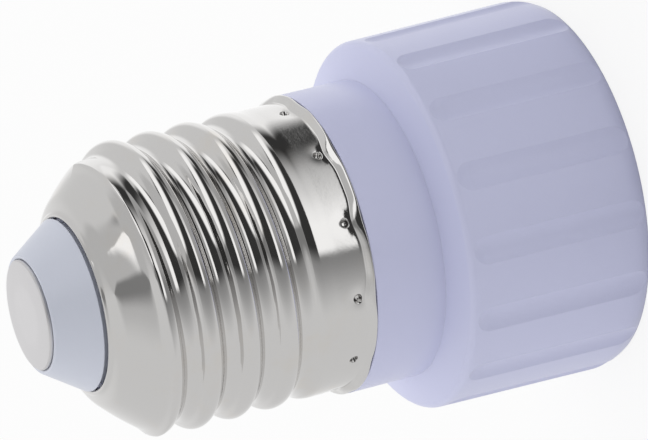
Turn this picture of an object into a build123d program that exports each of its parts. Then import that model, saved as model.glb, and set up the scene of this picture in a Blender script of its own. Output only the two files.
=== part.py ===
from build123d import *
import os
from math import asin, atan, cos, degrees, pi, radians, sin, sqrt, tan

# Lamp socket adapter: a 27 mm screw cap at one end, a socket for a lamp with two twist-lock pins at
# the other. Millimetres. It stands on the rim of its collar, with the axis along Z and the tip up.

# Collar, shoulder and neck of the moulded body
collar_front_radius = 17.1
collar_back_radius = 16.85
collar_height = 17.5
front_edge_inset = 0.5
front_edge_rise = 1.9
back_edge_fillet = 0.7
shoulder_rise = 1.05
neck_step = 0.55
neck_length = 6.6

# Flutes round the collar
flute_count = 16
flute_radius = 2.4
flute_depth = 0.4
flute_end_gap = 0.5
flute_start_angle = 8.5

# Screw cap: skin, rim, skirt, thread and domed shoulder
cap_wall = 0.3
skirt_drop = 0.15
skirt_length = 4.5
flare_radius = 5.1
flare_height = 2.45
thread_crest_radius = 13.2
thread_pitch = 25.4 / 7
thread_round = 1.007
thread_length = 13.35
thread_lead_in = 1.3
thread_angle = -165.0
thread_form_turn = 40.0
crest_trim = 0.04
crest_flat_angle = 18.0
dome_height = 4.95
dome_ledge = 1.38
dome_ledge_flat = 0.006
dome_lower_fillet = 1.2
cap_hole_radius = 7.55

# Staking pits punched round the skirt
pit_count = 12
pit_floor_radius = 0.2
pit_depth = 0.4
pit_lean = 40.0
pit_height = 1.5
pit_start_angle = 5.0
pit_clearance = 0.15

# Core and nose of the body
cap_clearance = 0.05
thread_clearance = 0.15
core_step_height = 3.4
nose_neck_clearance = 0.25
nose_gap = 0.35
nose_rim_rise = 0.15
nose_overhang = 0.2
nose_taper = 2.35
nose_height = 3.6
nose_lip_bevel = 0.1

# Tip contact
tip_border = 0.38
tip_seat_depth = 0.15
tip_seat_clearance = 0.08
tip_edge = 0.45
tip_crown = 0.15
tip_flat_radius = 2.0
tip_shank_radius = 1.6
tip_shank_bore = 1.1
tip_clench_radius = 2.3
tip_clench = 0.5
tip_bevel = 0.12
shank_clearance = 0.05

# Socket for the lamp's pins
recess_radius = 13.3
recess_depth = 5.0
recess_chamfer = 0.5
face_thickness = 3.0
face_clearance = 0.1
pin_circle_radius = 5.0
pin_hole_radius = 3.1
pin_slot_width = 3.6
pin_twist = 40.0
pin_chamfer = 0.4

# Contact block behind the face
block_radius = 12.5
block_clearance = 0.1
chamber_width = 7.0
chamber_circle_radius = 5.2
chamber_depth = 5.8
chamber_wall = 1.6
leaf_pocket_radius = 9.5
leaf_pocket_width = 6.0

# Spring contacts and the leaves behind them
clip_gauge = 0.4
clip_width = 5.0
clip_foot_start = 2.9
clip_bow_radius = 7.6
clip_top_gap = 0.7
clip_bow_drop = 1.8
clip_tongue_drop = 3.3
clip_tongue_lead = 0.4
clip_bend = 0.5
clip_fold = 0.3
clip_bow_bend = 1.5
leaf_gauge = 0.3
leaf_width = 4.4
leaf_reach = 3.2
leaf_clearance = 0.05

# Rivets through clip, leaf, block and tag
rivet_circle_radius = 5.0
rivet_radius = 1.0
rivet_head_radius = 1.7
rivet_head = 0.5
rivet_head_bevel = 0.2
rivet_clearance = 0.03

# Crimped ring tags
tag_gauge = 0.4
tag_ring_radius = 2.3
tip_ring_radius = 3.0
tag_strip_width = 1.2
tag_reach = 3.3
tag_bend = 0.35
barrel_bore = 0.5
barrel_length = 3.5
barrel_gap = 0.9
barrel_slit = 0.2

# Leads and the sleeves over their crimps
wire_radius = 0.45
wire_clearance = 0.05
wire_end_inset = 0.3
insulation_radius = 0.9
insulation_gap = 0.5
insulation_length = 11.0
lead_bend = 6.0
lead_straight = 6.7
live_turn_height = 7.35
neutral_turn_height = 1.85
neutral_rise_radius = 6.2
exit_height = 4.5
exit_radius = 0.75
exit_bend = 1.2
groove_width = 1.1
groove_bend = 0.9
groove_run = 9.0
sleeve_bore = 1.0
sleeve_wall = 0.3
sleeve_length = 4.8
sleeve_rise = 0.6

# Cavity inside the body, and the bosses for the screws
cavity_margin = 0.2
cavity_step_height = 2.4
cavity_roof = 1.0
core_wall = 2.05
nose_side_wall = 2.3
nose_wall = 4.3
boss_radius = 2.5
boss_length = 7.0
pilot_margin = 0.6

# Screws that hold the face and the block
screw_circle_radius = 9.6
screw_radius = 1.2
screw_length = 13.0
screw_point = 0.8
screw_head_radius = 2.2
screw_head = 1.4
screw_head_bevel = 0.4
screw_clearance = 0.05
screw_head_clearance = 0.2
cross_width = 0.6
cross_length = 2.6
cross_depth = 0.8

# Heights, worked out upwards from the collar's rim
shoulder_height = collar_height + shoulder_rise
rim_height = shoulder_height + neck_length
thread_start = rim_height + skirt_length
thread_top = thread_start + thread_length
cap_top = thread_top + dome_height
nose_base = cap_top + nose_gap
nose_rim = nose_base + nose_rim_rise
nose_top = nose_rim + nose_height
tip_seat = nose_top - tip_seat_depth
block_front = recess_depth + face_thickness
chamber_floor = block_front + chamber_depth
block_back = chamber_floor + chamber_wall
cavity_step = rim_height + cavity_step_height
cavity_top = thread_top + cavity_roof
nose_wall_height = tip_seat - nose_wall

# Thread form: crest and root are equal arcs that meet at their common tangent
round_rise = sqrt((2 * thread_round) ** 2 - (thread_pitch / 2) ** 2)
flank_angle = asin(thread_pitch / 4 / thread_round)
crest_centre_radius = thread_crest_radius + crest_trim - thread_round
root_centre_radius = crest_centre_radius + round_rise
root_radius = root_centre_radius - thread_round
groove_height = thread_start + thread_lead_in
helix_rise = cap_top - groove_height
lead_angle = thread_pitch / (2 * pi * root_centre_radius)
run_out = sqrt((thread_crest_radius + 2 * cap_wall) ** 2 - root_radius ** 2)

# Radii, angles and levels that follow from what fits in what
skirt_radius = thread_crest_radius - skirt_drop
neck_radius = skirt_radius + neck_step
dome_run = thread_crest_radius - cap_hole_radius - dome_ledge
dome_slope = degrees(atan(dome_height / dome_run))
dome_upper_fillet = (dome_ledge - dome_ledge_flat) / tan(radians(dome_slope / 2))
nose_neck_radius = cap_hole_radius - nose_neck_clearance
nose_base_radius = cap_hole_radius + nose_overhang
nose_tip_radius = nose_base_radius - nose_taper
tip_seat_radius = nose_tip_radius - tip_border
tip_radius = tip_seat_radius - tip_seat_clearance
core_radius = root_radius - cap_wall - thread_clearance
skirt_core_radius = skirt_radius - cap_wall - cap_clearance
pit_level = rim_height + pit_height
shank_hole_radius = tip_shank_radius + shank_clearance
rivet_hole_radius = rivet_radius + rivet_clearance
screw_hole_radius = screw_radius + screw_clearance
insulation_bore = wire_radius + wire_clearance
crimp_radius = rivet_circle_radius + tag_reach
cavity_radius = crimp_radius + sleeve_bore + sleeve_wall + cavity_margin
core_cavity_radius = core_radius - core_wall
nose_cavity_radius = nose_neck_radius - nose_side_wall
block_crimp = block_back + tag_gauge + barrel_gap
tip_crimp = nose_wall_height - tag_gauge - barrel_gap
groove_wire_radius = root_radius - cap_wall - wire_radius - wire_clearance
exit_level = thread_start + exit_height
form_angle = thread_angle - thread_form_turn
contact_angle = pin_twist / 2
neutral_angle = contact_angle + 180
screw_angle = contact_angle + 90
screw_seat = recess_depth + screw_head_clearance + screw_head
screw_end = screw_seat + screw_length


def radial_plane(angle):
    """Upright plane through the axis: first direction outward at the angle, second direction up."""
    outward = Vector(1, 0, 0).rotate(Axis.Z, angle)
    sideways = Vector(0, -1, 0).rotate(Axis.Z, angle)
    return Plane(origin=(0, 0, 0), x_dir=outward, z_dir=sideways)


def outward_plane(angle, level):
    """Plane that faces outward at the angle: first direction sideways, second direction up."""
    outward = Vector(1, 0, 0).rotate(Axis.Z, angle)
    sideways = Vector(0, 1, 0).rotate(Axis.Z, angle)
    return Plane(origin=(0, 0, level), x_dir=sideways, z_dir=outward)


def cap_points(inset, bore=0):
    """Corners of the cap's half section from the skirt to a bore, drawn inset from its outside."""
    slope = radians(dome_slope)
    skirt = skirt_radius - inset
    crest = thread_crest_radius - inset
    dome_foot = thread_top - inset * tan((pi / 2 - slope) / 2)
    dome_head = cap_hole_radius + dome_ledge - inset * tan(slope / 2)
    return [
        (skirt, rim_height + flare_height),
        (skirt, thread_start),
        (crest, thread_start + crest - skirt),
        (crest, dome_foot),
        (dome_head, cap_top - inset),
        (bore, cap_top - inset),
    ]


def cap_section(inset, bore):
    """Closed half section of what lies between a bore and the cap's skin at this inset."""
    points = cap_points(inset, bore)
    centre = skirt_radius + flare_radius
    bend = flare_radius + inset
    mouth = centre - sqrt(bend ** 2 - flare_height ** 2)
    middle = centre - sqrt(bend ** 2 - (flare_height / 2) ** 2)
    ThreePointArc((mouth, rim_height), (middle, rim_height + flare_height / 2), points[0])
    FilletPolyline(*points, radius=[0, 0, dome_lower_fillet - inset, dome_upper_fillet - inset])
    Polyline((bore, cap_top - inset), (bore, rim_height), (mouth, rim_height))


def groove_points(inset):
    """Corners of the thread's groove at this inset: four chords round its root, one to each crest."""
    root_bend = thread_round + inset
    crest_bend = thread_round - inset
    crest_end = radians(crest_flat_angle)
    crest = (
        crest_centre_radius + crest_bend * cos(crest_end),
        thread_pitch / 2 - crest_bend * sin(crest_end),
    )
    turns = [flank_angle * share for share in (-1, -0.5, 0, 0.5, 1)]
    root = [(root_centre_radius - root_bend * cos(t), root_bend * sin(t)) for t in turns]
    outside = thread_crest_radius + 2 * cap_wall
    return root + [crest, (outside, crest[1]), (outside, -crest[1]), (crest[0], -crest[1])]


def groove_tool(inset):
    """Helical groove from the height of the plane XY, with a straight run-out at its lower end."""
    with BuildPart() as tool:
        with BuildLine() as path:
            Helix(thread_pitch, helix_rise, root_centre_radius)
        with BuildSketch(Plane.XZ) as form:
            with BuildLine():
                Polyline(*groove_points(inset), close=True)
            make_face()
        sweep(form.sketch, path=path.line, is_frenet=True)
        extrude(form.sketch, amount=run_out, dir=(0, -cos(lead_angle), -sin(lead_angle)))
    return tool.part


def pit_punches(growth):
    """Conical punches round the cap's skirt, larger by the growth on every side of their points."""
    floor = pit_floor_radius + growth * tan(radians(45 - pit_lean / 2))
    reach = pit_depth + growth + cap_wall
    with BuildPart() as punches:
        with Locations((0, 0, pit_level)):
            with PolarLocations(skirt_radius + cap_wall, pit_count, pit_start_angle):
                Cone(
                    floor,
                    floor + reach * tan(radians(pit_lean)),
                    reach,
                    rotation=(0, 90, 0),
                    align=(Align.CENTER, Align.CENTER, Align.MAX),
                )
    return punches.part


def cap_form(inset, bore=0):
    """Solid between a bore and the cap's skin at this inset, with its seam clear of the thread."""
    with BuildPart() as form:
        with BuildSketch(Plane.XZ):
            with BuildLine():
                cap_section(inset, bore)
            make_face()
        revolve(axis=Axis.Z)
        add(pit_punches(inset), rotation=(0, 0, -form_angle), mode=Mode.SUBTRACT)
        with Locations((0, 0, groove_height)):
            add(groove_tool(inset), rotation=(0, 0, thread_form_turn), mode=Mode.SUBTRACT)
    return form.part


def ring_tag(ring_radius, hole_radius):
    """Crimp tag: a ring on the plane XY, a strip out along X and up, and a barrel for the wire."""
    barrel_foot = tag_gauge + barrel_gap
    strip_end = tag_reach + barrel_bore + tag_gauge
    with BuildPart() as tag:
        with BuildSketch():
            Circle(ring_radius)
            Circle(hole_radius, mode=Mode.SUBTRACT)
        extrude(amount=tag_gauge)
        with BuildSketch(Plane.XZ):
            with BuildLine():
                FilletPolyline(
                    ((ring_radius + hole_radius) / 2, tag_gauge / 2),
                    (strip_end - tag_gauge / 2, tag_gauge / 2),
                    (strip_end - tag_gauge / 2, barrel_foot + tag_gauge),
                    radius=tag_bend,
                )
            trace(line_width=tag_gauge)
        extrude(amount=tag_strip_width / 2, both=True)
        with BuildSketch(Plane.XY.offset(barrel_foot)):
            with Locations((tag_reach, 0)):
                Circle(barrel_bore + tag_gauge)
                Circle(barrel_bore, mode=Mode.SUBTRACT)
                Rectangle(
                    2 * (barrel_bore + tag_gauge),
                    barrel_slit,
                    align=(Align.MAX, Align.CENTER),
                    mode=Mode.SUBTRACT,
                )
        extrude(amount=barrel_length)
    return tag.part


def folded_strip(points, bends, gauge, width, angle):
    """Sheet-metal strip folded along a centre line drawn on the upright plane at the angle."""
    with BuildPart() as strip:
        with BuildSketch(radial_plane(angle)):
            with BuildLine():
                FilletPolyline(*points, radius=bends)
            trace(line_width=gauge)
        extrude(amount=width / 2, both=True)
        with Locations((0, 0, chamber_floor)), PolarLocations(rivet_circle_radius, 1, angle):
            Cylinder(rivet_hole_radius, 4 * (clip_gauge + leaf_gauge), mode=Mode.SUBTRACT)
    return strip.part


def contact_clip(angle):
    """Spring contact: a foot on the chamber's floor, a wall and a tongue that bows to the pin."""
    foot = chamber_floor - leaf_gauge - clip_gauge / 2
    wall = leaf_pocket_radius - leaf_clearance - leaf_gauge - clip_gauge / 2
    top = block_front + clip_top_gap + clip_gauge / 2
    bow = clip_bow_radius + clip_gauge / 2
    points = [
        (clip_foot_start, foot),
        (wall, foot),
        (wall, top),
        (bow + clip_tongue_lead / 2, top),
        (bow, top + clip_bow_drop),
        (bow + clip_tongue_lead, top + clip_tongue_drop),
    ]
    bends = [clip_bend, clip_fold, clip_fold, clip_bow_bend]
    return folded_strip(points, bends, clip_gauge, clip_width, angle)


def backing_leaf(angle):
    """Steel leaf between a spring contact and the wall of its chamber."""
    foot = chamber_floor - leaf_gauge / 2
    wall = leaf_pocket_radius - leaf_clearance - leaf_gauge / 2
    points = [(clip_foot_start, foot), (wall, foot), (wall, foot - leaf_reach)]
    bend = clip_bend + (clip_gauge + leaf_gauge) / 2
    return folded_strip(points, [bend], leaf_gauge, leaf_width, angle)


def lead(points, bends, radius, angle, bore=0):
    """Round lead along a path of straight runs and arcs on the upright plane at the angle."""
    with BuildPart() as run:
        with BuildLine(radial_plane(angle)) as route:
            FilletPolyline(*points, radius=bends)
        with BuildSketch(Plane(route.line @ 0, z_dir=route.line % 0)):
            Circle(radius)
            if bore:
                Circle(bore, mode=Mode.SUBTRACT)
        sweep(path=route.line)
    return run.part


# Screw cap: rolled thread, staking pits and a domed shoulder in one skin of even thickness
with BuildPart() as screw_cap:
    add(cap_form(0, cap_hole_radius), rotation=(0, 0, form_angle))
    add(cap_form(cap_wall), rotation=(0, 0, form_angle), mode=Mode.SUBTRACT)

# Body: collar, shoulder, neck, core and nose in one moulding
collar_lean = (collar_front_radius - collar_back_radius) / (collar_height - front_edge_rise)
flute_half_width = sqrt(2 * flute_radius * flute_depth - flute_depth ** 2)
flute_centre = collar_height - flute_end_gap - flute_half_width
flute_axis_radius = (
    collar_front_radius + collar_lean * front_edge_rise + flute_radius - flute_depth
)
core_points = cap_points(cap_wall + thread_clearance)
core_step = rim_height + core_step_height
core_dome = core_points[3][1] + (core_points[3][0] - core_radius) * tan(radians(dome_slope))
core_head_radius, core_top = core_points[4]
core_bevel = (dome_upper_fillet - cap_wall - thread_clearance) * tan(radians(dome_slope / 2))
core_bevel_drop = core_bevel * sin(radians(dome_slope))
rim_edge = (collar_front_radius - front_edge_inset, 0)
wall_foot = (collar_front_radius, front_edge_rise)

with BuildPart() as flute_tool:
    with BuildSketch(Plane.XZ):
        with BuildLine():
            Polyline(
                (0, flute_centre + flute_radius),
                (0, -flute_radius),
                (flute_radius, -flute_radius),
                (flute_radius, flute_centre),
            )
            CenterArc((0, flute_centre), flute_radius, 0, 90)
        make_face()
    revolve(axis=Axis.Z)

with BuildPart() as body:
    with BuildSketch(Plane.XZ):
        with BuildLine():
            TangentArc(wall_foot, rim_edge, tangent=(collar_lean, -1))
            FilletPolyline(
                wall_foot,
                (collar_back_radius, collar_height),
                (neck_radius, shoulder_height),
                radius=[back_edge_fillet],
            )
            Polyline(
                (neck_radius, shoulder_height),
                (neck_radius, rim_height),
                (skirt_core_radius, rim_height),
                (skirt_core_radius, core_step),
                (core_radius, core_step + skirt_core_radius - core_radius),
                (core_radius, core_dome),
                (core_head_radius + core_bevel * cos(radians(dome_slope)), core_top - core_bevel_drop),
                (core_head_radius - core_bevel, core_top),
                (nose_neck_radius, core_top),
                (nose_neck_radius, nose_base),
                (nose_base_radius, nose_rim),
                (nose_tip_radius, nose_top - nose_lip_bevel),
                (nose_tip_radius - nose_lip_bevel, nose_top),
                (tip_seat_radius, nose_top),
                (tip_seat_radius, tip_seat),
                (0, tip_seat),
                (0, 0),
                rim_edge,
            )
        make_face()
    revolve(axis=Axis.Z)
    with BuildSketch(Plane.XZ):
        with BuildLine():
            Polyline(
                (0, 0),
                (recess_radius + recess_chamfer, 0),
                (recess_radius, recess_chamfer),
                (recess_radius, block_front),
                (block_radius + block_clearance, block_front),
                (block_radius + block_clearance, block_back),
                (cavity_radius, block_back),
                (cavity_radius, cavity_step),
                (core_cavity_radius, cavity_step),
                (core_cavity_radius, cavity_top),
                (nose_cavity_radius, cavity_top),
                (nose_cavity_radius, nose_wall_height),
                (shank_hole_radius, nose_wall_height),
                (shank_hole_radius, tip_seat),
                (0, tip_seat),
                close=True,
            )
        make_face()
    revolve(axis=Axis.Z, mode=Mode.SUBTRACT)
    with PolarLocations(flute_axis_radius, flute_count, flute_start_angle):
        add(flute_tool.part, rotation=(0, -degrees(atan(collar_lean)), 0), mode=Mode.SUBTRACT)
    add(pit_punches(cap_wall + pit_clearance), mode=Mode.SUBTRACT)
    with BuildSketch(Plane.XY.offset(block_back)):
        with PolarLocations(screw_circle_radius, 2, screw_angle):
            Circle(boss_radius)
    extrude(amount=boss_length)
    with BuildSketch(Plane.XY.offset(block_back)):
        with PolarLocations(screw_circle_radius, 2, screw_angle):
            Circle(screw_hole_radius)
    extrude(amount=screw_end + pilot_margin - block_back, mode=Mode.SUBTRACT)
    with BuildSketch(outward_plane(neutral_angle, exit_level)):
        Circle(exit_radius)
    extrude(amount=thread_crest_radius, mode=Mode.SUBTRACT)
    with BuildSketch(
        outward_plane(neutral_angle, exit_level).offset(groove_wire_radius - groove_width / 2)
    ):
        with Locations((0, groove_run / 2)):
            SlotCenterToCenter(groove_run, groove_width, rotation=90)
    extrude(amount=thread_crest_radius - groove_wire_radius, mode=Mode.SUBTRACT)

# Tip contact: a shallow button on a hollow shank, clenched under its tag
clench_level = nose_wall_height - tag_gauge - tip_clench
crown_level = tip_seat + tip_edge + tip_crown

with BuildPart() as tip_contact:
    with BuildSketch(Plane.XZ):
        with BuildLine():
            TangentArc(
                (tip_flat_radius, crown_level),
                (tip_radius - tip_bevel, tip_seat + tip_edge),
                tangent=(1, 0),
            )
            Polyline(
                (tip_radius - tip_bevel, tip_seat + tip_edge),
                (tip_radius, tip_seat + tip_edge - tip_bevel),
                (tip_radius, tip_seat),
                (tip_shank_radius, tip_seat),
                (tip_shank_radius, clench_level + tip_clench),
                (tip_clench_radius, clench_level + tip_clench),
                (tip_clench_radius, clench_level),
                (tip_shank_bore, clench_level),
                (tip_shank_bore, tip_seat),
                (0, tip_seat),
                (0, crown_level),
                (tip_flat_radius, crown_level),
            )
        make_face()
    revolve(axis=Axis.Z)

# Paths that the pins and the chambers follow through the twist
pin_path = CenterArc((0, 0), pin_circle_radius, 0, pin_twist)
chamber_path = CenterArc((0, 0), chamber_circle_radius, 0, pin_twist)

# Socket face: keyhole entries for the lamp's pins and counterbores for the two screws
with BuildPart() as socket_face:
    with BuildSketch(Plane.XY.offset(recess_depth)):
        Circle(recess_radius - face_clearance)
    extrude(amount=face_thickness)
    with BuildSketch(Plane.XY.offset(recess_depth)):
        with PolarLocations(pin_circle_radius, 2):
            Circle(pin_hole_radius)
        with PolarLocations(0, 2):
            SlotArc(pin_path, pin_slot_width)
    extrude(amount=face_thickness, mode=Mode.SUBTRACT)
    with BuildSketch(Plane.XY.offset(recess_depth)):
        with PolarLocations(pin_circle_radius, 2):
            Circle(pin_hole_radius + pin_chamfer)
    extrude(amount=pin_chamfer, taper=45, mode=Mode.SUBTRACT)
    with BuildSketch(Plane.XY.offset(recess_depth)):
        with PolarLocations(0, 2):
            SlotArc(pin_path, pin_slot_width + 2 * pin_chamfer)
    extrude(amount=pin_chamfer, taper=45, mode=Mode.SUBTRACT)
    with BuildSketch(Plane.XY.offset(recess_depth)):
        with PolarLocations(screw_circle_radius, 2, screw_angle):
            Circle(screw_head_radius + screw_head_clearance)
    extrude(amount=screw_seat - recess_depth, mode=Mode.SUBTRACT)
    with BuildSketch(Plane.XY.offset(recess_depth)):
        with PolarLocations(screw_circle_radius, 2, screw_angle):
            Circle(screw_hole_radius)
    extrude(amount=face_thickness, mode=Mode.SUBTRACT)

# Contact block: a chamber for each contact, with the pin's twist path left free
with BuildPart() as contact_block:
    with BuildSketch(Plane.XY.offset(block_front)):
        Circle(block_radius)
    extrude(amount=block_back - block_front)
    with BuildSketch(Plane.XY.offset(block_front)):
        with PolarLocations(0, 2):
            SlotArc(chamber_path, chamber_width)
        with PolarLocations(leaf_pocket_radius / 2, 2, contact_angle):
            Rectangle(leaf_pocket_radius / 2, leaf_pocket_width, align=(Align.MIN, Align.CENTER))
    extrude(amount=chamber_depth, mode=Mode.SUBTRACT)
    with BuildSketch(Plane.XY.offset(block_front)):
        with PolarLocations(screw_circle_radius, 2, screw_angle):
            Circle(screw_hole_radius)
        with PolarLocations(rivet_circle_radius, 2, contact_angle):
            Circle(rivet_hole_radius)
    extrude(amount=block_back - block_front, mode=Mode.SUBTRACT)

# Spring contacts with the steel leaves that back them
live_clip = contact_clip(contact_angle)
neutral_clip = contact_clip(neutral_angle)
live_backing_spring = backing_leaf(contact_angle)
neutral_backing_spring = backing_leaf(neutral_angle)

# Rivets that hold clip, leaf, block and tag together
rivet_seat = chamber_floor - leaf_gauge - clip_gauge
rivet_clench = block_back + tag_gauge

with BuildPart() as clip_rivets:
    with PolarLocations(rivet_circle_radius, 2, contact_angle):
        with Locations((0, 0, rivet_seat - rivet_head)):
            Cylinder(rivet_head_radius, rivet_head, align=(Align.CENTER, Align.CENTER, Align.MIN))
        with Locations((0, 0, rivet_seat)):
            Cylinder(
                rivet_radius, rivet_clench - rivet_seat, align=(Align.CENTER, Align.CENTER, Align.MIN)
            )
        with Locations((0, 0, rivet_clench)):
            Cylinder(rivet_head_radius, rivet_head, align=(Align.CENTER, Align.CENTER, Align.MIN))
    chamfer(clip_rivets.faces().sort_by(Axis.Z)[:2].edges(), rivet_head_bevel)
    chamfer(clip_rivets.faces().sort_by(Axis.Z)[-2:].edges(), rivet_head_bevel)

# Ring tags: one behind each spring contact and one inside the nose
with BuildPart() as live_tag:
    with Locations((0, 0, block_back)), PolarLocations(rivet_circle_radius, 1, contact_angle):
        add(ring_tag(tag_ring_radius, rivet_hole_radius))

with BuildPart() as neutral_tag:
    with Locations((0, 0, block_back)), PolarLocations(rivet_circle_radius, 1, neutral_angle):
        add(ring_tag(tag_ring_radius, rivet_hole_radius))

with BuildPart() as tip_tag:
    with Locations((0, 0, nose_wall_height)), PolarLocations(0, 1, contact_angle):
        add(ring_tag(tip_ring_radius, shank_hole_radius), rotation=(180, 0, 0))

# Leads: the live one runs up to the tip, the neutral one out to the screw cap
block_insulation = block_crimp + barrel_length + insulation_gap
tip_insulation = tip_crimp - barrel_length - insulation_gap
lead_turn = (crimp_radius, block_crimp + lead_straight)
live_turn = (tag_reach, rim_height + live_turn_height)
neutral_turn = (neutral_rise_radius, rim_height + neutral_turn_height)
live_wire = lead(
    [
        (crimp_radius, block_crimp + wire_end_inset),
        lead_turn,
        live_turn,
        (tag_reach, tip_crimp - wire_end_inset),
    ],
    [lead_bend, lead_bend],
    wire_radius,
    contact_angle,
)
live_insulation = lead(
    [(crimp_radius, block_insulation), lead_turn, live_turn, (tag_reach, tip_insulation)],
    [lead_bend, lead_bend],
    insulation_radius,
    contact_angle,
    insulation_bore,
)
neutral_wire = lead(
    [
        (crimp_radius, block_crimp + wire_end_inset),
        lead_turn,
        neutral_turn,
        (neutral_rise_radius, exit_level),
        (groove_wire_radius, exit_level),
        (groove_wire_radius, exit_level + groove_run),
    ],
    [lead_bend, lead_bend, exit_bend, groove_bend],
    wire_radius,
    neutral_angle,
)
neutral_insulation = lead(
    [
        (crimp_radius, block_insulation),
        lead_turn,
        neutral_turn,
        (neutral_rise_radius, block_insulation + insulation_length),
    ],
    [lead_bend, lead_bend],
    insulation_radius,
    neutral_angle,
    insulation_bore,
)

# Sleeves over the three crimps
with BuildPart() as crimp_sleeves:
    with BuildSketch(Plane.XY.offset(block_crimp + sleeve_rise)):
        with PolarLocations(crimp_radius, 2, contact_angle):
            Circle(sleeve_bore + sleeve_wall)
            Circle(sleeve_bore, mode=Mode.SUBTRACT)
    extrude(amount=sleeve_length)
    with BuildSketch(Plane.XY.offset(tip_crimp - sleeve_rise)):
        with PolarLocations(tag_reach, 1, contact_angle):
            Circle(sleeve_bore + sleeve_wall)
            Circle(sleeve_bore, mode=Mode.SUBTRACT)
    extrude(amount=-sleeve_length)

# Face screws: pan heads with a cross recess, in the counterbores of the face
with BuildPart() as face_screw:
    with BuildSketch(Plane.XZ):
        with BuildLine():
            Polyline(
                (0, screw_seat - screw_head),
                (screw_head_radius - screw_head_bevel, screw_seat - screw_head),
                (screw_head_radius, screw_seat - screw_head + screw_head_bevel),
                (screw_head_radius, screw_seat),
                (screw_radius, screw_seat),
                (screw_radius, screw_end - screw_point),
                (screw_radius / 2, screw_end),
                (0, screw_end),
                close=True,
            )
        make_face()
    revolve(axis=Axis.Z)
    with BuildSketch(Plane.XY.offset(screw_seat - screw_head)):
        Rectangle(cross_length, cross_width)
        Rectangle(cross_width, cross_length)
    extrude(amount=cross_depth, mode=Mode.SUBTRACT)

with BuildPart() as face_screws:
    with PolarLocations(screw_circle_radius, 2, screw_angle):
        add(face_screw.part)

body.part.label = "body"
screw_cap.part.label = "screw_cap"
tip_contact.part.label = "tip_contact"
socket_face.part.label = "socket_face"
contact_block.part.label = "contact_block"
live_clip.label = "live_clip"
neutral_clip.label = "neutral_clip"
live_backing_spring.label = "live_backing_spring"
neutral_backing_spring.label = "neutral_backing_spring"
clip_rivets.part.label = "clip_rivets"
live_tag.part.label = "live_tag"
neutral_tag.part.label = "neutral_tag"
tip_tag.part.label = "tip_tag"
live_wire.label = "live_wire"
live_insulation.label = "live_insulation"
neutral_wire.label = "neutral_wire"
neutral_insulation.label = "neutral_insulation"
crimp_sleeves.part.label = "crimp_sleeves"
face_screws.part.label = "face_screws"

os.makedirs("parts", exist_ok=True)
export_step(body.part, "parts/body.step")
export_step(screw_cap.part, "parts/screw_cap.step")
export_step(tip_contact.part, "parts/tip_contact.step")
export_step(socket_face.part, "parts/socket_face.step")
export_step(contact_block.part, "parts/contact_block.step")
export_step(live_clip, "parts/live_clip.step")
export_step(neutral_clip, "parts/neutral_clip.step")
export_step(live_backing_spring, "parts/live_backing_spring.step")
export_step(neutral_backing_spring, "parts/neutral_backing_spring.step")
export_step(clip_rivets.part, "parts/clip_rivets.step")
export_step(live_tag.part, "parts/live_tag.step")
export_step(neutral_tag.part, "parts/neutral_tag.step")
export_step(tip_tag.part, "parts/tip_tag.step")
export_step(live_wire, "parts/live_wire.step")
export_step(live_insulation, "parts/live_insulation.step")
export_step(neutral_wire, "parts/neutral_wire.step")
export_step(neutral_insulation, "parts/neutral_insulation.step")
export_step(crimp_sleeves.part, "parts/crimp_sleeves.step")
export_step(face_screws.part, "parts/face_screws.step")
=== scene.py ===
import math
from typing import NamedTuple

import bpy
import numpy as np
from bpy.props import FloatProperty, FloatVectorProperty, PointerProperty
from mathutils import Matrix, Vector


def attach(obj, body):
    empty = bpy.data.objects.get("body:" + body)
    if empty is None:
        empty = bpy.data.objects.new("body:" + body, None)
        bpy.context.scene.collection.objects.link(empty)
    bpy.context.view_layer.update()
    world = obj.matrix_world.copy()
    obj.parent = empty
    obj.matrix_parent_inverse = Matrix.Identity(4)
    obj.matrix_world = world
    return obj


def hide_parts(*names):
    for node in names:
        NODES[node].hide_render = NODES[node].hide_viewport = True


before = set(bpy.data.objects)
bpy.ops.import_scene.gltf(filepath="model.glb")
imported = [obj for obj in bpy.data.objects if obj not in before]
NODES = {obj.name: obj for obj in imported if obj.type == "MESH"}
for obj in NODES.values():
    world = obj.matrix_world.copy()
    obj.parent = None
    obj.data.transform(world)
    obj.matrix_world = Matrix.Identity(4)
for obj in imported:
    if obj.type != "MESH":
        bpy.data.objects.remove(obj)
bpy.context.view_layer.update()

bl_info = {
    "name": "Lamp socket adapter",
    "version": (1, 0, 0),
    "blender": (4, 5, 0),
    "location": "3D View > Sidebar > Lamp adapter",
    "description": "Screw cap, finishes and studio for a lamp socket adapter",
    "category": "Object",
}

MM = 0.001

# Screw cap. Lengths are in millimetres, heights are measured up from the collar's open rim,
# radii from the axis, and angles in degrees round the axis.

# Thread, with its root on one helix that rises with the angle
CREST_RADIUS = 13.2
THREAD_ROUND = 1.007
ROOT_DEPTH = 1.17
ROOT_AT_ZERO = 39.854
THREAD_FOOT = 28.4
FULL_CREST_LEVEL = 31.2
ROOT_RUN_IN = (29.7, 31.6)
ROOT_SINK = 0.82
ROOT_SINK_SLOPE = 0.025
ROOT_SINK_LEVEL = 34.0
SKIRT_DROP = 0.15

# Upper end of the thread, where the crests fall toward the shoulder and the last ridge ends
CREST_FALL = 0.9
CREST_FALL_LEVEL = 41.7
CREST_FALL_RUN = 3.45
CREST_FALL_LIMIT = 1.3
CREST_FALL_POWER = 2.4
CREST_OVER_DOME = 0.55
LEDGE_WIDTH = 0.32
RIDGE_END_TURN = 356.0
RIDGE_FADE_BEFORE = 1.0
RIDGE_FADE_AFTER = 0.3
LAST_RIDGE_REACH = 2.5

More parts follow.
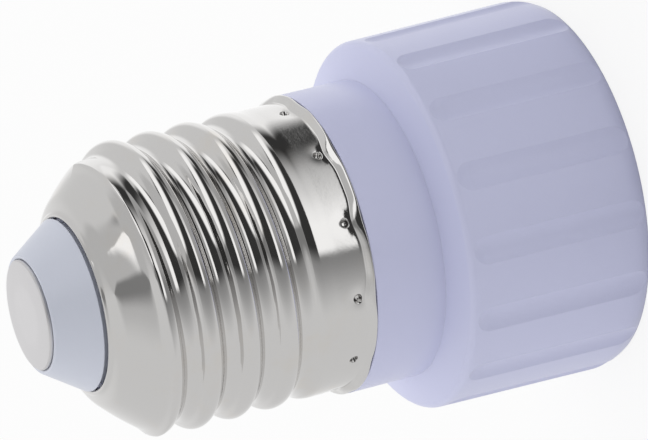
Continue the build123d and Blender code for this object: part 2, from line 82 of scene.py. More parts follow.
# Shoulder: a cone with a slight swell, then an arc to the flat round the hole
SHOULDER = 43.0
DOME_RISE = 4.95
DOME_RUN = 4.27
DOME_CORNER = 0.12
SWELL = 0.1
SWELL_FOOT = 44.0
SWELL_RISE = 3.0
CONE_TOP = 46.91
THREAD_TOP = 46.96
TOP_ARC_RADIUS = 3.0
TOP_ARC_CENTRE = (7.554, 44.95)

# Skirt: its lip is a rolled edge, given as height and radius from the inside to the outside, and
# a short fillet leads from it to the wall
SKIRT_FOOT_TOP = 27.6
LIP = (
    (26.3, 12.85), (25.6, 13.05), (25.156, 13.3), (25.156, 13.45), (25.16, 13.55),
    (25.175, 13.61), (25.21, 13.645), (25.27, 13.645), (25.34, 13.605), (25.42, 13.525),
    (25.5, 13.435), (25.57, 13.35), (25.625, 13.28), (25.67, 13.225), (25.715, 13.18),
)
LIP_FILLET = 0.13
LIP_FILLET_FALL = 0.05

# Bead round the hole, given in the same way from the outside to the inside
HOLE = (
    (47.7, 8.75), (47.78, 8.58), (47.85, 8.42), (47.91, 8.3), (47.98, 8.21), (48.07, 8.14),
    (48.15, 8.05), (48.19, 7.96), (48.2, 7.88), (48.17, 7.8), (48.1, 7.75), (47.98, 7.72),
    (47.8, 7.7), (47.6, 7.7),
)

# Staking pits round the skirt, each in a shallow dent, with the lip drawn up and in below it
PIT_COUNT = 12
PIT_START = 5.0
PIT_LEVEL = 26.65
PIT_HALF_WIDTH = 0.45
PIT_HALF_HEIGHT = 0.5
PIT_FLOOR = 0.42
DENT_HALF_WIDTH = 0.75
DENT_HALF_HEIGHT = 0.7
DENT_DEPTH = 0.11
PULL_ANGLE = 6.5
PULL_BETWEEN_PITS = 0.12
PULL_IN = 0.1
PULL_IN_LEVELS = (25.4, 25.95)
PULL_UP = 0.08
PULL_UP_OUTSIDE = 0.26
OUTSIDE_LEVELS = (25.2, 25.62)
PULL_UP_FADE = (25.75, 26.6)

# Mesh of the skin: rows between the lip and the bead as first height, last height and count, and
# columns that are close together at the pits and at the end of the last ridge
ROWS = (
    (25.75, 26.0, 7),
    (26.06, 27.15, 19),
    (27.26, 28.6, 9),
    (28.75, 47.0, 131),
    (47.08, 47.6, 8),
)
PIT_HALF_ANGLE = 2.8
COLUMNS_A_STRETCH = 17
RIDGE_END_COLUMNS = (-1.6, -1.2, -0.9, -0.6, -0.3, 0.0, 0.3, 0.6)
LEAST_COLUMN_GAP = 0.12

# Heights between which a finish changes: from collar to neck, from core to nose, and from the
# cap's skirt to its thread
COLLAR_TO_NECK = (17.2, 18.4)
CORE_TO_NOSE = (47.0, 48.0)
SKIRT_TO_THREAD = (28.4, 29.8)

# Studio: half the floor's width in metres, how white the camera sees the floor, and the soft light
# from the front to the back, as the Y between which it changes and its levels
FLOOR_HALF = 1.5
FLOOR_WHITE = 0.85
SOFT_LIGHT_ACROSS = (-0.5, 0.6)
SOFT_LIGHT_LEVELS = (0.73, 1.6)

# Camera: where it stands in metres, the directions that are right and up in its picture, and its
# lens and sensor in millimetres
CAMERA_PLACE = (0.00186, -0.40708, 0.18678)
CAMERA_RIGHT = (-0.24101, -0.36169, -0.90062)
CAMERA_UP = (0.97053, -0.08982, -0.22365)
CAMERA_LENS = 273.77
CAMERA_SENSOR = 36.0
CAMERA_CLIP = 0.01


class Panel(NamedTuple):
    """Panel that bright metal mirrors, with where each of its soft edges starts and ends.

    Left and right are degrees round the axis, where -90 is the front. Bottom and top are sines of
    the angle above the horizon. A level of 1 is white.
    """

    level: float
    left: tuple
    right: tuple
    bottom: tuple = (-1.2, -1.1)
    top: tuple = (1.1, 1.2)


class Window(NamedTuple):
    """Window in the dark room, whose sill and head slant with the direction."""

    level: float
    left: tuple
    right: tuple
    sill: float
    sill_slope: float
    sill_edge: tuple
    head: float
    head_slope: float
    head_edge: tuple
    top: float


# Studio that bright metal mirrors in place of the floor and the white background: panels over a
# pale surround, each laid over those before it, and the window last
TABLE_EDGE = (-0.37, -0.33)
TABLE_FOOT = (-0.68, -0.60)
CEILING_EDGE = (0.70, 0.80)
SURROUND = 0.71
SHADED_SIDE = Panel(0.26, (-153, -98), (-76, -64), top=CEILING_EDGE)
BRIGHT_CARD = Panel(0.86, (55, 88), (92, 132), top=CEILING_EDGE)
SHEET_BEHIND_TABLE = Panel(1.0, (22, 48), (70, 100), bottom=TABLE_EDGE, top=(-0.25, 0.05))
DARK_ROOM = Panel(0.04, (-108, -92), (-10, 4), bottom=TABLE_EDGE, top=CEILING_EDGE)
CEILING = Panel(0.56, (-170, -120), (60, 100), bottom=CEILING_EDGE)
CEILING_SHADE = Panel(0.24, (-125, -93), (-76, -64), bottom=CEILING_EDGE)
TABLE_ON_LEFT = Panel(1.16, (-103, -95), (-77, -33), bottom=TABLE_FOOT, top=TABLE_EDGE)
TABLE_ON_RIGHT = Panel(1.05, (5, 20), (84, 112), bottom=TABLE_FOOT, top=TABLE_EDGE)
GAP_IN_TABLE = Panel(0.04, (-41, -1), (11, 37), bottom=TABLE_FOOT, top=TABLE_EDGE)
UNDER_TABLE = Panel(0.41, (-88, -66), (78, 90), top=TABLE_FOOT)
DARK_UNDER_TABLE = Panel(0.15, (30, 62), (74, 90), top=TABLE_FOOT)
PANELS = (
    SHADED_SIDE,
    BRIGHT_CARD,
    SHEET_BEHIND_TABLE,
    DARK_ROOM,
    CEILING,
    CEILING_SHADE,
    TABLE_ON_LEFT,
    TABLE_ON_RIGHT,
    GAP_IN_TABLE,
    UNDER_TABLE,
    DARK_UNDER_TABLE,
)
WINDOW = Window(
    level=1.17,
    left=(-77, -64),
    right=(6, 20),
    sill=-0.14,
    sill_slope=-0.0105,
    sill_edge=(-0.08, 0.17),
    head=0.37,
    head_slope=-0.022,
    head_edge=(-0.02, 0.02),
    top=0.865,
)


def smooth(low, high, x):
    """0 below low, 1 above high and an even curve between them, for numbers and arrays."""
    t = np.clip((x - low) / (high - low), 0.0, 1.0)
    return t * t * (3.0 - 2.0 * t)


class Value:
    """A socket that Python's operators work on: each operator adds a Math node."""

    def __init__(self, tree, socket):
        self.tree = tree
        self.socket = socket

    def __add__(self, other):
        return self.tree.math("ADD", self, other)

    def __radd__(self, other):
        return self.tree.math("ADD", other, self)

    def __sub__(self, other):
        return self.tree.math("SUBTRACT", self, other)

    def __rsub__(self, other):
        return self.tree.math("SUBTRACT", other, self)

    def __mul__(self, other):
        return self.tree.math("MULTIPLY", self, other)

    def __rmul__(self, other):
        return self.tree.math("MULTIPLY", other, self)


class Tree:
    """Adds nodes to the tree of a material or of the world."""

    def __init__(self, owner):
        owner.use_nodes = True
        self.nodes = owner.node_tree.nodes
        self.links = owner.node_tree.links
        self.nodes.clear()

    def add(self, kind, settings=None, output=0, **sockets):
        """Adds a node, applies its settings, and gives its sockets their values or links.

        A socket's name has _ for each space, or is i and its number.
        """
        node = self.nodes.new(kind)
        for name, value in (settings or {}).items():
            setattr(node, name, value)
        for name, value in sockets.items():
            numbered = name[0] == "i" and name[1:].isdigit()
            key = int(name[1:]) if numbered else name.replace("_", " ")
            self.join(node.inputs[key], value)
        if isinstance(output, tuple):
            return [Value(self, node.outputs[each]) for each in output]
        return Value(self, node.outputs[output]) if node.outputs else None

    def join(self, socket, value):
        if isinstance(value, Value):
            self.links.new(value.socket, socket)
        else:
            socket.default_value = value

    def math(self, operation, first, second=0.0):
        return self.add("ShaderNodeMath", {"operation": operation}, i0=first, i1=second)

    def blend(self, share, first, second):
        """Mix of two colours."""
        return self.add(
            "ShaderNodeMix", {"data_type": "RGBA"}, output=2, i0=share, i6=first, i7=second
        )

    def between(self, value, low, high, to_low=0.0, to_high=1.0):
        """The value's range low to high, mapped smoothly to another range."""
        return self.add(
            "ShaderNodeMapRange",
            {"interpolation_type": "SMOOTHSTEP"},
            Value=value,
            From_Min=low,
            From_Max=high,
            To_Min=to_low,
            To_Max=to_high,
        )

    def place(self):
        """Position on the part in millimetres."""
        spot = self.add("ShaderNodeTexCoord", output=3)
        return self.add(
            "ShaderNodeVectorMath", {"operation": "SCALE"}, Vector=spot, Scale=1.0 / MM
        )

    def noise(self, spot, size, detail=2.0, roughness=0.5, stretch=(1.0, 1.0, 1.0)):
        """Noise from 0 to 1 with features about size millimetres wide."""
        scaled = self.add(
            "ShaderNodeVectorMath",
            {"operation": "MULTIPLY"},
            i0=spot,
            i1=tuple(1.0 / (size * s) for s in stretch),
        )
        return self.add(
            "ShaderNodeTexNoise",
            Vector=scaled,
            Scale=1.0,
            Detail=detail,
            Roughness=roughness,
        )

    def bump(self, height, depth, edge=0.0):
        """Normal for a height from 0 to 1 that is depth millimetres deep, with edges rounded."""
        sockets = {"Height": height, "Strength": 1.0, "Distance": depth * MM}
        if edge:
            sockets["Normal"] = self.add("ShaderNodeBevel", {"samples": 4}, Radius=edge * MM)
        return self.add("ShaderNodeBump", **sockets)

    def surface(self, **sockets):
        """Principled shader to the material's output."""
        shader = self.add("ShaderNodeBsdfPrincipled", **sockets)
        self.add("ShaderNodeOutputMaterial", Surface=shader)


def material(name):
    made = bpy.data.materials.new(name)
    return made, Tree(made)


def tinted(colour, factor):
    return (*[min(1.0, c * factor) for c in colour[:3]], 1.0)


def moulded_plastic(name, colour, nose_lit_colour, roughness, grain):
    """Satin moulded plastic: grained on the collar, smoother on the neck, and painted paler and
    greyer on the nose as painted light for the extra floor light the nose catches.
    """
    made, tree = material(name)
    spot = tree.place()
    height = tree.add("ShaderNodeSeparateXYZ", output=2, Vector=spot)
    cloud = tree.noise(spot, size=9.0, detail=3.0)
    fine = tree.noise(spot, size=0.2) * tree.between(height, *COLLAR_TO_NECK, 1.0, 0.3)
    shade = tree.blend(cloud, tinted(colour, 0.985), tinted(colour, 1.015))
    # Painted light: above the core the colour turns to the paler nose colour, which stands in for
    # the extra light the nose catches
    shade = tree.blend(tree.between(height, *CORE_TO_NOSE), shade, (*nose_lit_colour, 1.0))
    tree.surface(
        Base_Color=shade,
        Roughness=tree.between(cloud, 0.3, 0.7, roughness - 0.03, roughness + 0.03),
        IOR=1.5,
        Normal=tree.bump(fine, grain, 0.12),
    )
    return made


def bright_nickel(name, colour):
    """Bright nickel plate on rolled sheet, with faint haze, orange peel and warm stains."""
    made, tree = material(name)
    spot = tree.place()
    height = tree.add("ShaderNodeSeparateXYZ", output=2, Vector=spot)
    skirt = tree.between(height, *SKIRT_TO_THREAD, 1.0, 0.0)
    haze = tree.noise(spot, size=3.2, detail=4.0, roughness=0.6)
    peel = tree.noise(spot, size=0.3, detail=3.0, roughness=0.65)
    cloud = tree.noise(spot, size=5.5, detail=5.0, roughness=0.65)
    stain = tree.between(cloud, 0.5, 0.75)
    warm = (colour[0], colour[1] * 0.96, colour[2] * 0.9, 1.0)
    tree.surface(
        Base_Color=tree.blend(stain * 0.6, (*colour, 1.0), warm),
        Metallic=1.0,
        Roughness=tree.between(haze, 0.35, 0.75, 0.04, 0.08) + skirt * 0.03,
        Normal=tree.bump(peel * (skirt * 0.7 + 0.3), 0.003),
    )
    return made


def metal(name, colour, roughness, size, depth, stain=0.1, stretch=(1.0, 1.0, 1.0)):
    """Plain sheet or turned metal with its rolling marks and a little tarnish."""
    made, tree = material(name)
    spot = tree.place()
    marks = tree.noise(spot, size, detail=3.0, roughness=0.6, stretch=stretch)
    cloud = tree.noise(spot, size=1.8, detail=4.0, roughness=0.6)
    tarnish = tree.between(cloud, 0.45, 0.75)
    tree.surface(
        Base_Color=tree.blend(tarnish, (*colour, 1.0), tinted(colour, 1.0 - stain)),
        Metallic=1.0,
        Roughness=tree.between(marks, 0.25, 0.75, roughness - 0.05, roughness + 0.06),
        Normal=tree.bump(marks, depth, 0.05),
    )
    return made


def tip_metal(name, colour):
    """Tinned contact disc: satin face with fine turning rings and small specks."""
    made, tree = material(name)
    spot = tree.place()
    away = tree.add("ShaderNodeVectorMath", {"operation": "MULTIPLY"}, i0=spot, i1=(1.0, 1.0, 0.0))
    reach = tree.add("ShaderNodeVectorMath", {"operation": "LENGTH"}, output=1, Vector=away)
    rings = tree.math("SINE", reach * 42.0) * 0.25 + 0.5
    specks = tree.noise(spot, size=0.22, roughness=0.6)
    cloud = tree.noise(spot, size=2.6, detail=3.0)
    tree.surface(
        Base_Color=tree.blend(cloud, tinted(colour, 0.94), tinted(colour, 1.04)),
        Metallic=1.0,
        Roughness=tree.between(cloud, 0.3, 0.7, 0.3, 0.38),
        Normal=tree.bump(rings * 0.4 + specks * 0.6, 0.004, 0.05),
    )
    return made


def stranded_wire(name, colour):
    """Tinned strands twisted round each other."""
    made, tree = material(name)
    spot = tree.place()
    wave = tree.add(
        "ShaderNodeTexWave",
        {"wave_type": "BANDS", "bands_direction": "DIAGONAL"},
        Vector=spot,
        Scale=1.6,
        Distortion=0.6,
    )
    tree.surface(
        Base_Color=tree.blend(wave * 0.5, (*colour, 1.0), tinted(colour, 0.8)),
        Metallic=1.0,
        Roughness=0.3,
        Normal=tree.bump(wave, 0.03),
    )
    return made


def wire_insulation(name, colour):
    """Extruded insulation: matt, with faint marks along its length."""
    made, tree = material(name)
    spot = tree.place()
    along = (1.0, 1.0, 8.0)
    marks = tree.noise(spot, size=0.3, detail=3.0, roughness=0.6, stretch=along)
    tree.surface(
        Base_Color=tree.blend(marks, tinted(colour, 0.9), tinted(colour, 1.1)),
        Roughness=tree.between(marks, 0.3, 0.7, 0.42, 0.52),
        Normal=tree.bump(marks, 0.01),
    )
    return made


def woven_sleeve(name, colour):
    """Braided glass-fibre sleeve: two sets of yarns that cross."""
    made, tree = material(name)
    spot = tree.place()
    left = tree.add(
        "ShaderNodeTexWave",
        {"bands_direction": "Z"},
        Vector=tree.add("ShaderNodeVectorRotate", Vector=spot, Axis=(1.0, 0.0, 0.0), Angle=0.7),
        Scale=1.3,
    )
    right = tree.add(
        "ShaderNodeTexWave",
        {"bands_direction": "Z"},
        Vector=tree.add("ShaderNodeVectorRotate", Vector=spot, Axis=(1.0, 0.0, 0.0), Angle=-0.7),
        Scale=1.3,
    )
    yarns = tree.math("MAXIMUM", left, right)
    tree.surface(
        Base_Color=tree.blend(yarns, tinted(colour, 0.72), (*colour, 1.0)),
        Roughness=0.75,
        Normal=tree.bump(yarns, 0.06),
    )
    return made


def zinc_plate(name, colour):
    """Bright zinc on a pressed steel screw, with a faint blue and yellow passivation."""
    made, tree = material(name)
    spot = tree.place()
    film = tree.noise(spot, size=1.1, detail=3.0)
    marks = tree.noise(spot, size=0.25)
    blue = (colour[0] * 0.94, colour[1] * 0.97, min(1.0, colour[2] * 1.05), 1.0)
    yellow = (min(1.0, colour[0] * 1.03), colour[1], colour[2] * 0.9, 1.0)
    tree.surface(
        Base_Color=tree.blend(tree.between(film, 0.35, 0.65), blue, yellow),
        Metallic=1.0,
        Roughness=tree.between(marks, 0.3, 0.7, 0.2, 0.3),
        Normal=tree.bump(marks, 0.006, 0.06),
    )
    return made


def dress(node, finish):
    """Gives a CAD node its finish."""
    mesh = NODES[node].data
    mesh.materials.clear()
    mesh.materials.append(finish)


def lesser(first, second):
    """The lesser of two radii, with the corner between them rounded."""
    return 0.5 * (first + second - np.sqrt((first - second) ** 2 + DOME_CORNER ** 2))


def dome_radius(z):
    """Cap's shoulder at a height: a cone that a curve leads into the flat round the hole."""
    slope = math.atan(DOME_RISE / DOME_RUN)
    swell = SWELL * np.sin(math.pi * np.clip((z - SWELL_FOOT) / SWELL_RISE, 0.0, 1.0))
    cone = CREST_RADIUS - (z - SHOULDER) / math.tan(slope) + swell
    centre_radius, centre_level = TOP_ARC_CENTRE
    square = TOP_ARC_RADIUS ** 2
    curve = centre_radius + np.sqrt(np.clip(square - (z - centre_level) ** 2, 0.0, square))
    return np.where(z < CONE_TOP, cone, curve)


def thread_radius(angle, z, pitch, crest):
    """Radius of the rolled thread at an angle and a height, with rounded roots and crests."""
    bend = THREAD_ROUND
    quarter = pitch / 4
    depth = 2 * bend - math.sqrt(4 * bend ** 2 - (pitch / 2) ** 2)
    turn = (z - ROOT_AT_ZERO) / pitch * 360.0
    turn = angle + 360.0 * np.round((turn - angle) / 360.0)
    root = ROOT_AT_ZERO + pitch * turn / 360.0
    away = z - root
    near = np.clip(np.abs(away), 0.0, pitch / 2)
    low = bend - np.sqrt(bend ** 2 - np.minimum(near, quarter) ** 2)
    high = depth - bend + np.sqrt(bend ** 2 - np.minimum(pitch / 2 - near, quarter) ** 2)
    rise = np.where(near < quarter, low, high) / depth
    skirt = crest - SKIRT_DROP
    sink = ROOT_SINK + ROOT_SINK_SLOPE * (root - ROOT_SINK_LEVEL)
    root_radius = np.maximum(skirt - sink * smooth(*ROOT_RUN_IN, root), crest - ROOT_DEPTH)
    above = away > 0
    peak = np.where(above, root, root - pitch) + pitch / 2
    peak_turn = np.where(above, turn, turn - 360.0)
    top = skirt + SKIRT_DROP * smooth(THREAD_FOOT, FULL_CREST_LEVEL, peak)
    fallen = np.clip((peak - CREST_FALL_LEVEL) / CREST_FALL_RUN, 0.0, CREST_FALL_LIMIT)
    top = top - CREST_FALL * fallen ** CREST_FALL_POWER
    top = np.minimum(top, dome_radius(peak) + CREST_OVER_DOME)
    dome = dome_radius(z)
    floor = lesser(root_radius, dome)
    base = np.where(turn > RIDGE_END_TURN, floor, root_radius)
    skin = base + (top - base) * rise
    ledge = dome + (top - dome_radius(peak)) * np.exp(-(((z - peak) / LEDGE_WIDTH) ** 2))
    skin = np.where(turn > RIDGE_END_TURN, np.minimum(skin, ledge), skin)
    fade_start = RIDGE_END_TURN - RIDGE_FADE_BEFORE
    fade_end = RIDGE_END_TURN + RIDGE_FADE_AFTER
    fade = smooth(fade_start, fade_end, peak_turn)
    fade = np.where(z > SHOULDER - LAST_RIDGE_REACH, fade, 0.0)
    return skin + (floor - skin) * fade


def from_pit(angle):
    """How far each angle is from the nearest staking pit."""
    step = 360.0 / PIT_COUNT
    return (angle - PIT_START + step / 2) % step - step / 2


def cap_angles():
    """Angles of the cap mesh's columns."""
    step = 360.0 / PIT_COUNT
    fine = np.linspace(-PIT_HALF_ANGLE, PIT_HALF_ANGLE, COLUMNS_A_STRETCH)
    wide = np.linspace(PIT_HALF_ANGLE, step - PIT_HALF_ANGLE, COLUMNS_A_STRETCH)[1:-1]
    angles = [PIT_START + i * step + a for i in range(PIT_COUNT) for a in (*fine, *wide)]
    angles += [RIDGE_END_TURN - 360.0 + a for a in RIDGE_END_COLUMNS]
    turned = np.unique(np.round(np.mod(angles, 360.0), 4))
    gaps = np.diff(np.append(turned, turned[0] + 360.0))
    return turned[gaps > LEAST_COLUMN_GAP]


def cap_grid(sizes):
    """Points of the cap's skin in millimetres, in rows from inside the lip to inside the hole."""
    crest = sizes.crest_radius / MM
    angles = cap_angles()
    angle, z = np.meshgrid(angles, np.concatenate([np.linspace(*row) for row in ROWS]))
    skin = thread_radius(angle, z, sizes.pitch / MM, crest)
    foot = crest - SKIRT_DROP + LIP_FILLET * np.exp((LIP[-1][0] - z) / LIP_FILLET_FALL)
    skin = np.where(z < SKIRT_FOOT_TOP, foot, skin)
    skin = np.where(z > THREAD_TOP, dome_radius(z), skin)
    lip = np.array(LIP)
    lip[:, 1] += crest - CREST_RADIUS
    hole = np.array(HOLE)
    columns = np.ones(len(angles))
    z = np.vstack([np.outer(lip[:, 0], columns), z, np.outer(hole[:, 0], columns)])
    skin = np.vstack([np.outer(lip[:, 1], columns), skin, np.outer(hole[:, 1], columns)])
    angle = np.tile(angles, (len(z), 1))
    aside = from_pit(angle)
    across = np.radians(aside) * skin
    along = z - PIT_LEVEL
    ring = np.sqrt((across / PIT_HALF_WIDTH) ** 2 + (along / PIT_HALF_HEIGHT) ** 2)
    pit = sizes.pit_depth / MM * (1.0 - smooth(PIT_FLOOR, 1.0, ring))
    dent = np.exp(-((across / DENT_HALF_WIDTH) ** 2 + (along / DENT_HALF_HEIGHT) ** 2))
    pull = np.exp(-((aside / PULL_ANGLE) ** 2)) - PULL_BETWEEN_PITS
    drawn_in = PULL_IN * pull * (1.0 - smooth(*PULL_IN_LEVELS, z))
    drawn_up = PULL_UP + PULL_UP_OUTSIDE * smooth(*OUTSIDE_LEVELS, z)
    drawn_up = drawn_up * (1.0 - smooth(*PULL_UP_FADE, z)) * np.clip(pull, 0.0, 1.0)
    skin = skin - pit - DENT_DEPTH * dent - drawn_in
    z = z + np.where(z < PULL_UP_FADE[1], drawn_up, 0.0)
    turned = np.radians(angle)
    points = np.stack([skin * np.cos(turned), skin * np.sin(turned), z], axis=-1)
    return points, angles


def grid_normals(points, angles):
    """Outward normals of a grid that closes round the axis."""
    wrapped = np.concatenate([points[:, -3:], points, points[:, :3]], axis=1)
    turned = np.concatenate([angles[-3:] - 360.0, angles, angles[:3] + 360.0])
    round_axis = np.gradient(wrapped, turned, axis=1)[:, 3:-3]
    steps = np.linalg.norm(np.diff(points, axis=0), axis=2).mean(axis=1)
    upward = np.gradient(points, np.concatenate([[0.0], np.cumsum(steps)]), axis=0)
    normals = np.cross(round_axis, upward)
    return normals / np.linalg.norm(normals, axis=2, keepdims=True)


def grid_mesh(name, points, normals):
    """Mesh of quads from a grid of points in millimetres that closes round the axis."""
    rows, columns = points.shape[:2]
    mesh = bpy.data.meshes.new(name)
    here = np.arange(columns)
    after = np.roll(here, -1)
    first = np.arange(rows - 1)[:, None] * columns
    quads = np.stack(
        [first + here, first + after, first + columns + after, first + columns + here], axis=-1
    )
    mesh.from_pydata((points * MM).reshape(-1, 3).tolist(), [], quads.reshape(-1, 4).tolist())
    mesh.update()
    mesh.polygons.foreach_set("use_smooth", [True] * len(mesh.polygons))
    mesh.normals_split_custom_set_from_vertices(normals.reshape(-1, 3).tolist())
    return mesh


class AdapterSizes(bpy.types.PropertyGroup):
    """Sizes of the screw cap."""

    crest_radius: FloatProperty(
        name="Crest radius",
        description="Radius over the crests of the cap's thread",
        default=CREST_RADIUS * MM,
        unit="LENGTH",
    )
    pitch: FloatProperty(
        name="Pitch",
        description="Height that the thread climbs in one turn",
        default=0.0254 / 7,
        unit="LENGTH",
    )
    pit_depth: FloatProperty(
        name="Pit depth",
        description="Depth of the staking pits round the cap's skirt",
        default=0.0004,
        unit="LENGTH",
    )


class AdapterColours(bpy.types.PropertyGroup):
    """Colours of the finishes."""

    moulding: FloatVectorProperty(
        name="Moulding",
        description="Plastic of the collar, the neck and the socket",
        default=(0.56, 0.575, 0.77),
        subtype="COLOR",
    )
    # Painted light: the nose colour is paler and greyer than the moulding to stand in for the
    # extra light that falls on the nose
    nose: FloatVectorProperty(
        name="Nose",
        description="Plastic of the nose, which looks paler than the collar",
        default=(0.56, 0.585, 0.67),
        subtype="COLOR",
    )
    nickel: FloatVectorProperty(
        name="Nickel",
        description="Bright plate of the screw cap",
        default=(0.74, 0.73, 0.72),
        subtype="COLOR",
    )
    tip: FloatVectorProperty(
        name="Tip contact",
        description="Tinned disc at the tip",
        default=(0.72, 0.71, 0.72),
        subtype="COLOR",
    )
    brass: FloatVectorProperty(
        name="Brass",
        description="Spring contacts and their rivets",
        default=(0.78, 0.58, 0.28),
        subtype="COLOR",
    )
    steel: FloatVectorProperty(
        name="Spring steel",
        description="Leaves behind the spring contacts",
        default=(0.42, 0.42, 0.44),
        subtype="COLOR",
    )
    tin: FloatVectorProperty(
        name="Tinned brass",
        description="Ring tags of the leads",
        default=(0.70, 0.68, 0.63),
        subtype="COLOR",
    )
    copper: FloatVectorProperty(
        name="Copper",
        description="Strands of the leads",
        default=(0.72, 0.42, 0.28),
        subtype="COLOR",
    )
    live: FloatVectorProperty(
        name="Live lead",
        description="Insulation of the live lead",
        default=(0.13, 0.045, 0.02),
        subtype="COLOR",
    )
    neutral: FloatVectorProperty(
        name="Neutral lead",
        description="Insulation of the neutral lead",
        default=(0.02, 0.06, 0.32),
        subtype="COLOR",
    )
    sleeve: FloatVectorProperty(
        name="Sleeves",
        description="Woven sleeves over the crimps",
        default=(0.72, 0.69, 0.60),
        subtype="COLOR",
    )
    zinc: FloatVectorProperty(
        name="Screws",
        description="Zinc plate of the two face screws",
        default=(0.62, 0.62, 0.62),
        subtype="COLOR",
    )
    floor: FloatVectorProperty(
        name="Floor",
        description="Floor under the adapter",
        default=(0.75, 0.75, 0.75),
        subtype="COLOR",
    )


class AdapterStudio(bpy.types.PropertyGroup):
    """Light of the studio."""

    level: FloatProperty(
        name="Light level",
        description="Strength of the soft light all round",
        default=1.0,
        min=0.0,
    )


class ADAPTER_OT_screw_cap(bpy.types.Operator):
    """Makes the rolled and plated screw cap in place of the plain one"""

    bl_idname = "adapter.screw_cap"
    bl_label = "Screw cap"

    def execute(self, context):
        scene = context.scene
        points, angles = cap_grid(scene.adapter_sizes)
        mesh = grid_mesh("rolled_screw_cap", points, grid_normals(points, angles))
        mesh.materials.append(bright_nickel("bright_nickel", scene.adapter_colours.nickel))
        cap = bpy.data.objects.new("rolled_screw_cap", mesh)
        scene.collection.objects.link(cap)
        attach(cap, "root")
        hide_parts("screw_cap")
        return {"FINISHED"}


class ADAPTER_OT_mouldings(bpy.types.Operator):
    """Gives the body, the socket face and the contact block their moulded plastic"""

    bl_idname = "adapter.mouldings"
    bl_label = "Mouldings"

    def execute(self, context):
        colour = context.scene.adapter_colours.moulding
        nose = context.scene.adapter_colours.nose
        outer = moulded_plastic("satin_moulding", colour, nose, roughness=0.32, grain=0.012)
        inner = moulded_plastic("socket_moulding", colour, nose, roughness=0.48, grain=0.008)
        dress("body", outer)
        dress("socket_face", inner)
        dress("contact_block", inner)
        return {"FINISHED"}


class ADAPTER_OT_tip_contact(bpy.types.Operator):
    """Gives the tip contact its satin tin"""

    bl_idname = "adapter.tip_contact"
    bl_label = "Tip contact"

    def execute(self, context):
        dress("tip_contact", tip_metal("tinned_tip", context.scene.adapter_colours.tip))
        return {"FINISHED"}


class ADAPTER_OT_contacts(bpy.types.Operator):
    """Gives the spring contacts, their leaves, the rivets and the ring tags their metals"""

    bl_idname = "adapter.contacts"
    bl_label = "Contacts"

    def execute(self, context):
        colours = context.scene.adapter_colours
        brass = metal(
            "contact_brass",
            colours.brass,
            roughness=0.2,
            size=0.5,
            depth=0.003,
            stain=0.15,
            stretch=(1.0, 1.0, 6.0),
        )
        steel = metal(
            "spring_steel",
            colours.steel,
            roughness=0.28,
            size=0.3,
            depth=0.003,
            stain=0.2,
            stretch=(6.0, 1.0, 1.0),
        )
        tin = metal("tinned_brass", colours.tin, roughness=0.3, size=0.4, depth=0.004)
        for node in ("live_clip", "neutral_clip", "clip_rivets"):
            dress(node, brass)
        for node in ("live_backing_spring", "neutral_backing_spring"):
            dress(node, steel)
        for node in ("live_tag", "neutral_tag", "tip_tag"):
            dress(node, tin)
        return {"FINISHED"}


class ADAPTER_OT_leads(bpy.types.Operator):
    """Gives the leads their strands and insulation, and the crimps their woven sleeves"""

    bl_idname = "adapter.leads"
    bl_label = "Leads"

    def execute(self, context):
        colours = context.scene.adapter_colours
        strands = stranded_wire("tinned_strands", colours.copper)
        dress("live_wire", strands)
        dress("neutral_wire", strands)
        dress("live_insulation", wire_insulation("live_insulation", colours.live))
        dress("neutral_insulation", wire_insulation("neutral_insulation", colours.neutral))
        dress("crimp_sleeves", woven_sleeve("woven_sleeve", colours.sleeve))
        return {"FINISHED"}


class ADAPTER_OT_face_screws(bpy.types.Operator):
    """Gives the two face screws their zinc plate"""

    bl_idname = "adapter.face_screws"
    bl_label = "Face screws"

    def execute(self, context):
        dress("face_screws", zinc_plate("zinc_plate", context.scene.adapter_colours.zinc))
        return {"FINISHED"}


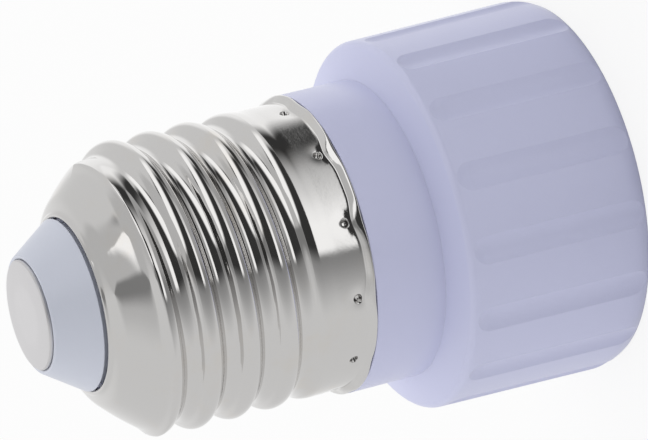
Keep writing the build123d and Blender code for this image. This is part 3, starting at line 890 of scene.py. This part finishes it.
class ADAPTER_OT_studio(bpy.types.Operator):
    """Lays the pale floor and sets the soft light and the camera"""

    bl_idname = "adapter.studio"
    bl_label = "Studio"

    def execute(self, context):
        scene = context.scene
        self.floor(scene)
        self.light(scene)
        self.camera(scene)
        scene.view_settings.view_transform = "Standard"
        return {"FINISHED"}

    def floor(self, scene):
        mesh = bpy.data.meshes.new("studio_floor")
        half = FLOOR_HALF
        corners = [(-half, -half, 0.0), (half, -half, 0.0), (half, half, 0.0), (-half, half, 0.0)]
        mesh.from_pydata(corners, [], [(0, 1, 2, 3)])
        floor = bpy.data.objects.new("studio_floor", mesh)
        scene.collection.objects.link(floor)
        floor.visible_glossy = False
        made, tree = material("pale_floor")
        seen = tree.add("ShaderNodeLightPath")
        matt = tree.add("ShaderNodeBsdfDiffuse", Color=(*scene.adapter_colours.floor, 1.0))
        glow = tree.add("ShaderNodeEmission", Color=(1.0, 1.0, 1.0, 1.0), Strength=1.0)
        shader = tree.add("ShaderNodeMixShader", i0=seen * FLOOR_WHITE, i1=matt, i2=glow)
        tree.add("ShaderNodeOutputMaterial", Surface=shader)
        mesh.materials.append(made)

    def light(self, scene):
        world = bpy.data.worlds.new("studio_light")
        scene.world = world
        tree = Tree(world)
        toward = tree.add("ShaderNodeTexCoord")
        x, y, z = tree.add("ShaderNodeSeparateXYZ", output=(0, 1, 2), Vector=toward)
        turn = tree.math("ARCTAN2", y, x) * (180.0 / math.pi)
        seen, glossy = tree.add("ShaderNodeLightPath", output=(0, 3))
        soft = tree.between(y, *SOFT_LIGHT_ACROSS, *SOFT_LIGHT_LEVELS)
        tone = self.mix(soft, self.studio(tree, turn, z), glossy)
        tone = self.mix(tone, 1.0 / scene.adapter_studio.level, seen)
        glow = tree.add("ShaderNodeBackground", Color=tone, Strength=scene.adapter_studio.level)
        tree.add("ShaderNodeOutputWorld", Surface=glow)

    def mix(self, first, second, share):
        return first + (second - first) * share

    def studio(self, tree, turn, z):
        """What bright metal mirrors: the pale surround, its panels and the slanted window."""
        tone = SURROUND
        for panel in PANELS:
            across = self.edges(tree, turn, panel.left, panel.right)
            up = self.edges(tree, z, panel.bottom, panel.top)
            tone = self.mix(tone, panel.level, across * up)
        sill = turn * WINDOW.sill_slope + WINDOW.sill
        head = tree.math("MINIMUM", turn * WINDOW.head_slope + WINDOW.head, WINDOW.top)
        pane = tree.between(z - sill, *WINDOW.sill_edge)
        pane = pane * tree.between(z - head, *WINDOW.head_edge, 1.0, 0.0)
        pane = pane * self.edges(tree, turn, WINDOW.left, WINDOW.right)
        return self.mix(tone, WINDOW.level, pane)

    def edges(self, tree, value, rise, fall):
        """1 between two soft edges, each given by where it starts and where it ends."""
        return tree.between(value, *rise) * tree.between(value, *fall, 1.0, 0.0)

    def camera(self, scene):
        right = Vector(CAMERA_RIGHT).normalized()
        up = Vector(CAMERA_UP).normalized()
        back = right.cross(up)
        turn = Matrix((right, up, back)).transposed()
        view = bpy.data.cameras.new("camera")
        view.lens = CAMERA_LENS
        view.sensor_width = CAMERA_SENSOR
        view.clip_start = CAMERA_CLIP
        camera = bpy.data.objects.new("camera", view)
        camera.matrix_world = Matrix.Translation(CAMERA_PLACE) @ turn.to_4x4()
        scene.collection.objects.link(camera)
        scene.camera = camera


class ADAPTER_PT_panel(bpy.types.Panel):
    """Steps, sizes and colours of the lamp socket adapter"""

    bl_idname = "ADAPTER_PT_panel"
    bl_label = "Lamp adapter"
    bl_space_type = "VIEW_3D"
    bl_region_type = "UI"
    bl_category = "Lamp adapter"

    def draw(self, context):
        for step in STEPS:
            self.layout.operator(step.bl_idname)
        for group in ("adapter_sizes", "adapter_colours", "adapter_studio"):
            values = getattr(context.scene, group)
            for name in values.__annotations__:
                self.layout.prop(values, name)


STEPS = (
    ADAPTER_OT_screw_cap,
    ADAPTER_OT_mouldings,
    ADAPTER_OT_tip_contact,
    ADAPTER_OT_contacts,
    ADAPTER_OT_leads,
    ADAPTER_OT_face_screws,
    ADAPTER_OT_studio,
)
CLASSES = (AdapterSizes, AdapterColours, AdapterStudio, *STEPS, ADAPTER_PT_panel)


def register():
    for item in CLASSES:
        bpy.utils.register_class(item)
    bpy.types.Scene.adapter_sizes = PointerProperty(type=AdapterSizes)
    bpy.types.Scene.adapter_colours = PointerProperty(type=AdapterColours)
    bpy.types.Scene.adapter_studio = PointerProperty(type=AdapterStudio)


def unregister():
    del bpy.types.Scene.adapter_studio
    del bpy.types.Scene.adapter_colours
    del bpy.types.Scene.adapter_sizes
    for item in reversed(CLASSES):
        bpy.utils.unregister_class(item)


def main():
    register()
    bpy.ops.adapter.studio()
    bpy.ops.adapter.screw_cap()
    bpy.ops.adapter.mouldings()
    bpy.ops.adapter.tip_contact()
    bpy.ops.adapter.contacts()
    bpy.ops.adapter.leads()
    bpy.ops.adapter.face_screws()


if __name__ == "__main__":
    main()
